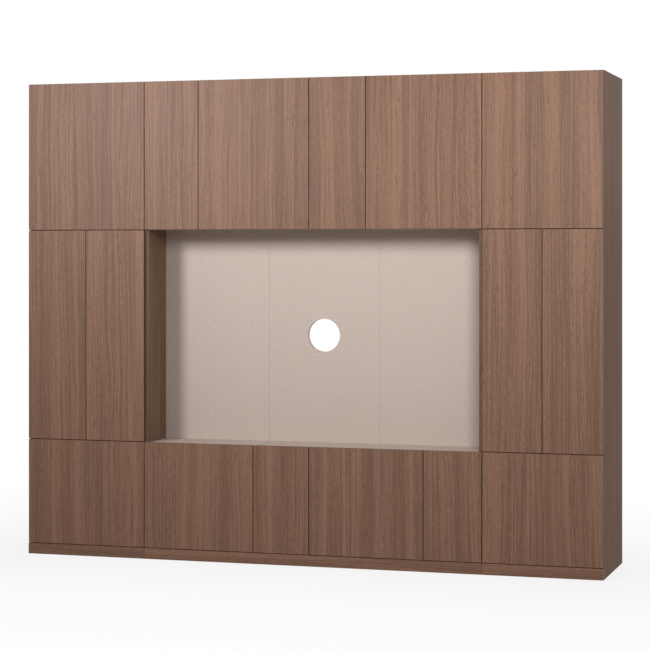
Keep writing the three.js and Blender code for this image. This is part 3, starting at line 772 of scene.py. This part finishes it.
uprightSide = {
    "left_tower_outer_side": 1, "left_tower_inner_side": -1,
    "right_tower_inner_side": 1, "right_tower_outer_side": -1,
    "bridge_left_end": 1, "bridge_right_end": -1,
    "base_left_end": 1, "base_right_end": -1,
}
for number in (1, 2, 3):
    uprightSide[f"bridge_partition_{number}"] = 1
    uprightSide[f"base_partition_{number}"] = -1
grooveSet = {"depth": 8 * mm, "front": frontPlane + 561.7 * mm, "rear": frontPlane + 570.3 * mm,
             "bottom": 58 * mm}
over = 1 * mm  # grooves and holes are cut from this far outside a board
pinSet = {
    "columns": (frontPlane + 77 * mm, frontPlane + 525 * mm),
    "drop": 2.8 * mm,  # from a shelf's underside to the middle of its pins
    "pitch": 32 * mm,
    "holesEachWay": 5,
    "diameter": 5 * mm,
    "depth": 10 * mm,
    "sides": 10,
}
uprights = []
pinPlaces = []
for node, inner in uprightSide.items():
    low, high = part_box(node)
    low.y = boardSet["carcassFront"]
    if inner > 0:
        high.x = low.x + boardSet["thickness"]
        face = high.x
    else:
        low.x = high.x - boardSet["thickness"]
        face = low.x
    uprights.append({"low": low, "high": high, "inner": inner, "face": face})
    cuts = bmesh.new()
    if "partition" not in node:
        into = sorted((face - inner * grooveSet["depth"], face + inner * over))
        addBlock(cuts, (into[0], grooveSet["front"], max(low.z - over, grooveSet["bottom"] - over)),
                 (into[1], grooveSet["rear"], high.z + over))
    holes = []
    if "tower" in node:
        for shelf in (1, 2):
            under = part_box(node.split("_tower")[0] + f"_tower_shelf_{shelf}")[0].z
            for y in pinSet["columns"]:
                pinPlaces.append(((face, y, under - pinSet["drop"]), (inner, 0, 0)))
                for step in range(-pinSet["holesEachWay"], pinSet["holesEachWay"] + 1):
                    z = under - pinSet["drop"] + step * pinSet["pitch"]
                    holes.append(((face, y, z), (inner, 0, 0)))
        addHoles(cuts, holes, pinSet["diameter"] / 2, pinSet["depth"], over, pinSet["sides"])
    # Outer sides take the darker copy of the print, which is painted shade
    outer = node.endswith("outer_side")
    board = makeBoard(node + "_board", low, high, "z", shadedSideFinish if outer else linenFinish,
                      bare=("+y", "-z"), cuts=meshFrom(cuts, "cuts"),
                      bands=None if outer else (("-y",), walnutFinish))
    fitBoard(board, cabinetBody, node)
print("uprights made:", len(uprights))

# Flat boards: shelves, tops, bottoms, backs, niche and plinth

towers = ("left_tower", "right_tower")
levels = ("top", "upper_fixed_shelf", "lower_fixed_shelf", "bottom", "shelf_1", "shelf_2")
# Nodes, and the axis of their print, finish, and sides without an edge band
boardGroups = (
    (("base_top", "base_bottom", "bridge_top", "bridge_bottom"), "x", "linen", ("+y",)),
    (("niche_left_cheek", "niche_right_cheek"), "z", "walnut", ("+y", "-z", "+z")),
    (("niche_lining_left", "niche_lining_middle", "niche_lining_right"), "z", "linen", ()),
    (("niche_lower_rail",), "x", "linen", ("+z",)),
    (("niche_upper_rail",), "x", "linen", ("-z",)),
    (("plinth_left", "plinth_middle", "plinth_right"), "x", "walnut", ("-z",)),
    ([f"{tower}_{level}" for tower in towers for level in levels], "x", "linen", ("+y",)),
)
flatBoards = {node: traits for nodes, *traits in boardGroups for node in nodes}
backBoards = ("left_tower_back", "right_tower_back", "bridge_back", "base_back")
holeSet = {"radius": 86 * mm, "height": 1166 * mm, "past": 2 * mm, "sides": 96}
liningSet = {"gap": 0.4 * mm}

for node, (grain, finishName, bare) in flatBoards.items():
    low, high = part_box(node)
    panel = not node.startswith(("niche", "plinth"))
    if panel and high.z - low.z > boardSet["thickness"]:
        low.z = high.z - boardSet["thickness"]
        low.y = boardSet["carcassFront"]
    cuts = None
    if node.startswith("niche_lining"):
        low.x += liningSet["gap"] / 2
        high.x -= liningSet["gap"] / 2
    if node == "niche_lining_middle":
        bm = bmesh.new()
        middle = (low.x + high.x) / 2
        addHoles(bm, [((middle, high.y, holeSet["height"]), (0, 1, 0))], holeSet["radius"],
                 high.y - low.y + holeSet["past"], holeSet["past"], holeSet["sides"])
        cuts = meshFrom(bm, "hole")
    face = walnutFinish if finishName == "walnut" else linenFinish
    bands = None
    if node.endswith("cheek"):
        # Cheek faces take the olive-tinted copy of the print, which is painted light; their front edges
        # take the darker band, which is painted shade
        face = cheekPaintedLightFinish
        bands = (("-y",), shadedBandFinish)
    elif node.startswith("plinth"):
        # Plinth tops take the darker band, which is painted shade in the gap under the doors
        bands = (("+z",), shadedBandFinish)
    elif panel and "shelf_" not in node and node != "base_top":
        bands = (("-y",), walnutFinish)
    board = makeBoard(node + "_board", low, high, grain, face, bare=bare, cuts=cuts, bands=bands)
    fitBoard(board, cabinetBody, node)
for node in backBoards:
    low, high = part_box(node)
    board = makeBoard(node + "_board", low, high, "z", linenFinish, plain["hardboard"],
                      ("+x", "-x", "+y", "+z", "-z"), rounding=boardSet["backRounding"])
    fitBoard(board, cabinetBody, node)
print("flat boards made:", len(flatBoards) + len(backBoards))

# Helpers for fittings


# Sheet metal cut to an outline in X and Y about height zero, its edges rolled over
def addStamped(bm, outline, thickness, roll, place):
    curve = bpy.data.curves.new("stamping", "CURVE")
    curve.dimensions = "2D"
    curve.fill_mode = "BOTH"
    curve.extrude = thickness / 2 - roll
    curve.bevel_depth = roll
    curve.offset = -roll
    for corners in outline:
        edge = curve.splines.new("POLY")
        edge.points.add(len(corners) - 1)
        edge.use_cyclic_u = True
        for point, (u, v) in zip(edge.points, corners):
            point.co = (u, v, 0, 1)
    blank = objectFrom(curve, "stamping")
    bpy.context.view_layer.update()
    mesh = bpy.data.meshes.new_from_object(blank)
    mesh.transform(place)
    part = bmesh.new()
    part.from_mesh(mesh)
    bmesh.ops.remove_doubles(part, verts=part.verts[:], dist=joinWithin)
    part.to_mesh(mesh)
    part.free()
    bm.from_mesh(mesh)
    bpy.data.objects.remove(blank)
    bpy.data.meshes.remove(mesh)


# A block that is mirrored in X for hand -1
def addHanded(bm, hand, spanX, spanY, spanZ, rounding):
    near, far = sorted(hand * x for x in spanX)
    addBlock(bm, (near, spanY[0], spanZ[0]), (far, spanY[1], spanZ[1]), rounding)


# Concealed hinges. Each part is made about its own hinge: X from the panel or the cup's middle
# towards the door's middle for hand 1 and away from it for hand -1, Y from the door's front

armSet = {
    "plateMiddle": 57 * mm,
    "plateLength": 44 * mm,
    "plateHeight": 52 * mm,
    "plateSpine": 16 * mm,
    "plateWing": 12 * mm,
    "plateThickness": 2.5 * mm,
    "plateRoll": 0.4 * mm,
    "plateSteps": 6,
    "plateScrewRise": 16 * mm,
    "ridgeWidth": 11 * mm,
    "ridgeLength": 38 * mm,
    "ridgeRounding": 0.8 * mm,
    "seat": 8 * mm,
    "top": 16 * mm,
    "tailTop": 12.5 * mm,
    "tail": 86 * mm,
    "tailRun": 3.5 * mm,
    "knee": 36 * mm,
    "nose": 20 * mm,
    "near": -1.05 * mm,  # from the cup's middle
    "far": 7 * mm,
    "halfWidth": 7.5 * mm,
    "halfNose": 5.5 * mm,
    "wall": 1.2 * mm,
    "corner": 2.4 * mm,
    "cornerSteps": 3,
    "bendSteps": 8,
    "screws": (48 * mm, 70 * mm),
    "clip": (77 * mm, 85.5 * mm, 3.2 * mm, 7.6 * mm, 4.6 * mm),  # depth, height and half width
    "clipRounding": 1.0 * mm,
    "screwSeed": 7,
}
linkSet = {
    # from the cup's middle at the arm and in the cup, depth in the cup, half width, half thickness
    "outer": (4.7 * mm, 5.6 * mm, 13.2 * mm, 4.0 * mm, 0.75 * mm),
    "inner": (1.1 * mm, -0.8 * mm, 9.4 * mm, 2.9 * mm, 0.75 * mm),
    "armEnd": 24.5 * mm,
    "bendStart": 21.5 * mm,
    "bendEnd": 15.0 * mm,
    "steps": 24,
    "chamfer": 0.4,  # of the half thickness
    "eye": 2.2 * mm,
    "eyeSides": 16,
}


# The section of an arm: an upturned channel, open towards the panel, with rounded shoulders
def channelRing(hand, depth, low, high, half):
    ring = []
    for inset in (0, armSet["wall"]):
        corner = armSet["corner"] - inset
        middle = (half - inset - corner, high - inset - corner)
        side = [(half - inset, low)] + arc(middle, corner, 0, 90, armSet["cornerSteps"])
        whole = side + [(-z, rise) for z, rise in reversed(side)]
        ring += whole if inset == 0 else reversed(whole)
    return [(hand * rise, depth, z) for z, rise in ring]


def addArm(bm, hand, offset):
    look = armSet
    half = look["halfWidth"]
    stations = [
        (look["tail"], look["seat"], look["tailTop"], half),
        (look["tail"] - look["tailRun"], look["seat"], look["top"], half),
    ]
    for step in range(look["bendSteps"] + 1):
        t = step / look["bendSteps"]
        bent = t * t * (3 - 2 * t)
        middle = (look["knee"] + look["nose"]) / 2
        depth = (look["knee"] * (1 - t) ** 3 + 3 * middle * t * (1 - t) + look["nose"] * t ** 3)
        stations.append((depth, look["seat"] + (offset + look["near"] - look["seat"]) * bent,
                         look["top"] + (offset + look["far"] - look["top"]) * bent,
                         half + (look["halfNose"] - half) * t))
    addLoft(bm, [channelRing(hand, *station) for station in stations])

    spine, wing = look["plateSpine"] / 2, look["plateWing"] / 2
    long, tall = look["plateLength"] / 2, look["plateHeight"] / 2
    quarter = [(long, spine), (wing, spine)]
    quarter += arc((0, tall - wing), wing, 0, 90, look["plateSteps"])[:-1]
    cross = quarter + [(-u, v) for u, v in reversed(quarter)]
    cross += [(-u, -v) for u, v in quarter] + [(u, -v) for u, v in reversed(quarter)]
    place = Matrix(((0, 0, hand, hand * look["plateThickness"] / 2), (1, 0, 0, look["plateMiddle"]),
                    (0, 1, 0, 0), (0, 0, 0, 1)))
    addStamped(bm, [cross], look["plateThickness"], look["plateRoll"], place)
    run, half = look["ridgeLength"] / 2, look["ridgeWidth"] / 2
    ridge = (look["plateMiddle"] - run, look["plateMiddle"] + run)
    addHanded(bm, hand, (look["plateThickness"], look["top"] - look["wall"]), ridge, (-half, half),
              look["ridgeRounding"])
    clipFrom, clipTo, clipLow, clipHigh, half = look["clip"]
    addHanded(bm, hand, (clipLow, clipHigh), (clipFrom, clipTo), (-half, half), look["clipRounding"])


def addLinks(bm, hand):
    for armX, cupX, cupY, half, thin in (linkSet["outer"], linkSet["inner"]):
        rings = []
        for step in range(linkSet["steps"] + 1):
            t = step / linkSet["steps"]
            x, y = armX + (cupX - armX) * t, linkSet["armEnd"] + (cupY - linkSet["armEnd"]) * t
            trim = thin * linkSet["chamfer"]
            side = [(thin, half - trim), (thin - trim, half), (trim - thin, half), (-thin, half - trim)]
            whole = side + [(-u, -v) for u, v in side]
            rings.append([(hand * (x + u), y, v) for u, v in whole])
        addLoft(bm, rings)
        addRod(bm, (hand * cupX, cupY, -half), (hand * cupX, cupY, half), linkSet["eye"],
               linkSet["eyeSides"])


# What carries the ends of the links, beside them in the cup
lugSet = {
    "x": (-3.2 * mm, 9.2 * mm),
    "y": (6.2 * mm, 16.4 * mm),
    "z": (8.4 * mm, 9.8 * mm),
    "rounding": 0.3 * mm,
    "pinRadius": 1.3 * mm,
    "pinReach": 1.2 * mm,  # past the outside of the lug
    "pinSides": 14,
}


def addCup(bm, hand):
    look = hingeSet
    addTurned(bm, (look["sides"], look["cup"]), way=(0, 1, 0))
    rim = look["cupRadius"] + look["rim"]
    wing = look["wingWidth"] / 2
    reach = look["wingLength"] / 2 - wing
    start = math.degrees(math.acos((look["wingOffset"] - wing) / rim))
    edge = arc((0, 0), rim, start, 360 - start, look["rimSteps"])
    edge += arc((look["wingOffset"], -reach), wing, 180, 360, look["wingSteps"])
    edge += arc((look["wingOffset"], reach), wing, 0, 180, look["wingSteps"])
    hole = arc((0, 0), look["cupRadius"], 0, 360, look["sides"])[:-1]
    place = Matrix(((hand, 0, 0, 0), (0, 0, 1, doorSet["thickness"] + look["flange"] / 2),
                    (0, 1, 0, 0), (0, 0, 0, 1)))
    addStamped(bm, [edge, hole], look["flange"], look["flangeRoll"], place)
    for side in (-1, 1):
        addHanded(bm, hand, lugSet["x"], lugSet["y"], sorted(side * z for z in lugSet["z"]),
                  lugSet["rounding"])
    end = lugSet["z"][1] + lugSet["pinReach"]
    for link in ("outer", "inner"):
        x, y = linkSet[link][1:3]
        addRod(bm, (hand * x, y, -end), (hand * x, y, end), lugSet["pinRadius"], lugSet["pinSides"])


armGroups = {}
plateScrews = []
for door in doors:
    name, hand, cup, heights = door["name"], door["inward"], door["cup"], door["heights"]
    carrier = [upright for upright in uprights if upright["inner"] == hand
               and upright["low"].x <= door["edge"] <= upright["high"].x
               and upright["low"].z <= heights[0] and heights[-1] <= upright["high"].z][0]
    panel = carrier["face"]
    offset = abs(cup - panel)
    places = [((panel, frontPlane, z), (0, 0, 1)) for z in heights]
    armGroups.setdefault((hand, round(offset / mm, 1)), []).extend(places)
    for z in heights:
        for side in (-1, 1):
            spot = (panel + hand * armSet["plateThickness"], frontPlane + armSet["plateMiddle"],
                    z + side * armSet["plateScrewRise"])
            plateScrews.append((spot, (hand, 0, 0)))
        for depth in armSet["screws"]:
            plateScrews.append(((panel + hand * armSet["top"], frontPlane + depth, z), (hand, 0, 0)))

    cups = [((cup, frontPlane, z), (0, 0, 1)) for z in heights]
    copied(name + "_hinge_cups", cups, nickel, name, addCup, hand)
    links = copied(name + "_hinge_links", cups, nickel, None, addLinks, hand)
    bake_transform(links)
    screwPlaces = [((cup + hand * hingeSet["wingOffset"], doorBack + hingeSet["flange"],
                     z + side * hingeSet["screwRise"]), (0, 1, 0))
                   for z in heights for side in (-1, 1)]
    grown(name + "_cup_screws", screwTree, screwPlaces, {"Seed": len(name)}, zinc, name)
for (hand, offset), places in armGroups.items():
    side = "left" if hand > 0 else "right"
    name = f"hinge_arms_{side}_{round(offset * 10)}"
    copied(name, places, nickel, cabinetBody, addArm, hand, offset * mm)
grown("hinge_plate_screws", screwTree, plateScrews, {"Seed": armSet["screwSeed"]}, zinc, cabinetBody)
print("hinges made:", sum(len(places) for places in armGroups.values()))

# Push latches under the panels, with what they meet on the doors

latchSet = {
    "edgeDistance": 48 * mm,
    "halfWidth": 6 * mm,
    "drop": 13 * mm,
    "front": 20 * mm,
    "rear": 66 * mm,
    "chamfer": 0.6 * mm,
    "roundSteps": 12,
    "tabs": ((-13 * mm, 38 * mm, -1.8 * mm), (13 * mm, 48 * mm, 0)),
    "tabRounding": 0.5 * mm,
    "tabScrews": 9.6 * mm,
    "screw": {"Head Radius": 2.6 * mm, "Slot Length": 3.2 * mm, "Seed": 3},
    "panelReach": 25 * mm,  # a latch panel's underside lies less than this under the door's top
    "plungerFrom": 23 * mm,
    "bumperInset": 4.8 * mm,
    # turned shapes: number of sides, and pairs of radius and rise in millimetres
    "bezel": (24, [(0, 0), (4.6, 0), (4.6, 0.5), (4.2, 0.9), (0, 0.9)]),
    "plunger": (24, [(0, 0), (3.5, 0), (3.5, 3.9), (3.1, 4.4), (0, 4.7)]),
    "strike": (32, [(0, -0.8), (7, -0.8), (7.5, -0.3), (7.5, 0.0), (7.2, 0.2), (0, 0.2)]),
    "bumper": (20, [(0, 0), (3.2, 0), (3.2, 0.8), (2.8, 1.4), (1.8, 1.75), (0, 1.8)]),
}
latchMiddle = latchSet["halfWidth"] - latchSet["drop"]


# A housing with a round belly, a tab to each side and a bezel round the plunger
def addHousing(bm):
    half, drop, chamfer = latchSet["halfWidth"], latchSet["drop"], latchSet["chamfer"]
    front, rear = latchSet["front"], latchSet["rear"]
    section = [(-half, 0)] + arc((0, latchMiddle), half, 180, 360, latchSet["roundSteps"]) + [(half, 0)]
    rings = []
    for depth, trim in ((front, 1), (front + chamfer, 0), (rear - chamfer, 0), (rear, 1)):
        share = 1 - trim * chamfer / half
        rings.append([(x * share, depth, -drop / 2 + (z + drop / 2) * share) for x, z in section])
    addLoft(bm, rings)
    addBlock(bm, *latchSet["tabs"], latchSet["tabRounding"])
    addTurned(bm, latchSet["bezel"], (0, front, latchMiddle), (0, -1, 0))


latchPanels = ["bridge_top", "base_top"]
latchPanels += [f"{tower}_{level}" for tower in towers for level in levels[:3]]
latchPlaces = []
for door in doors:
    free = door["high"].x if door["inward"] > 0 else door["low"].x
    x = free - door["inward"] * latchSet["edgeDistance"]
    for node in latchPanels:
        low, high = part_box(node)
        under = high.z - boardSet["thickness"]
        if low.x < x < high.x and 0 < door["high"].z - under < latchSet["panelReach"]:
            latchPlaces.append((x, frontPlane, under))
            strikePlace = ((x, doorBack, under + latchSet["halfWidth"] - latchSet["drop"]), (0, 1, 0))
    name = door["name"]
    copied(name + "_strike_plate", [strikePlace], zinc, name, addTurned, latchSet["strike"])
    inset = latchSet["bumperInset"]
    bumperPlaces = [((free - door["inward"] * inset, doorBack, z), (0, 1, 0))
                    for z in (door["low"].z + inset, door["high"].z - inset)]
    copied(name + "_bumpers", bumperPlaces, plain["clearSilicone"], name, addTurned, latchSet["bumper"])

housings = [(place, (0, 0, 1)) for place in latchPlaces]
copied("push_latch_housings", housings, plain["greyAbs"], cabinetBody, addHousing)
copied("push_latch_plungers", housings, plain["whiteAcetal"], cabinetBody, addTurned,
       latchSet["plunger"], (0, latchSet["plungerFrom"], latchMiddle), (0, -1, 0))
tabLow, tabHigh = latchSet["tabs"]
tabMiddle = (tabLow[1] + tabHigh[1]) / 2
screwPlaces = [((x + side * latchSet["tabScrews"], y + tabMiddle, z + tabLow[2]), (0, 0, -1))
               for x, y, z in latchPlaces for side in (-1, 1)]
grown("push_latch_screws", screwTree, screwPlaces, latchSet["screw"], zinc, cabinetBody)
print("latches made:", len(latchPlaces))

# Shelf pins, cam covers and feet

smallSet = {
    "coverInset": 34 * mm,
    "coverDepths": (110 * mm, 480 * mm),
    "footSpread": 750 * mm,
    "footDepths": (90 * mm, 492 * mm),
    # turned shapes, as for the latches
    "pin": (20, [(0, 0), (3.9, 0), (3.9, 0.8), (2.5, 0.8), (2.5, 8.6), (2.1, 9), (0, 9)]),
    "cover": (28, [(0, 0), (8.5, 0), (8.5, 0.5), (8.0, 0.9), (0, 1.1)]),
    "foot": (36, [(0, 0), (20.5, 0), (22, 1.5), (22, 6.5), (20.5, 8.6), (13, 9.4), (12, 11), (12, 38),
                  (15, 39.5), (16, 41), (16, 52), (17, 53), (27.2, 53), (28, 53.8), (28, 58), (0, 58)]),
}

copied("shelf_pins", pinPlaces, nickel, cabinetBody, addTurned, smallSet["pin"])
coverPlaces = []
for node in latchPanels:
    low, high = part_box(node)
    for x in (low.x + smallSet["coverInset"], high.x - smallSet["coverInset"]):
        for depth in smallSet["coverDepths"]:
            coverPlaces.append(((x, frontPlane + depth, high.z - boardSet["thickness"]), (0, 0, -1)))
copied("cam_covers", coverPlaces, plain["beigePolystyrene"], cabinetBody, addTurned, smallSet["cover"])
low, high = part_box("base_bottom")
footPlaces = [(((low.x + high.x) / 2 + side * smallSet["footSpread"], frontPlane + depth, 0), (0, 0, 1))
              for side in (-1, 0, 1) for depth in smallSet["footDepths"]]
copied("levelling_feet", footPlaces, plain["blackAbs"], cabinetBody, addTurned, smallSet["foot"])
print("pins, covers and feet made:", len(pinPlaces), len(coverPlaces), len(footPlaces))

low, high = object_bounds()
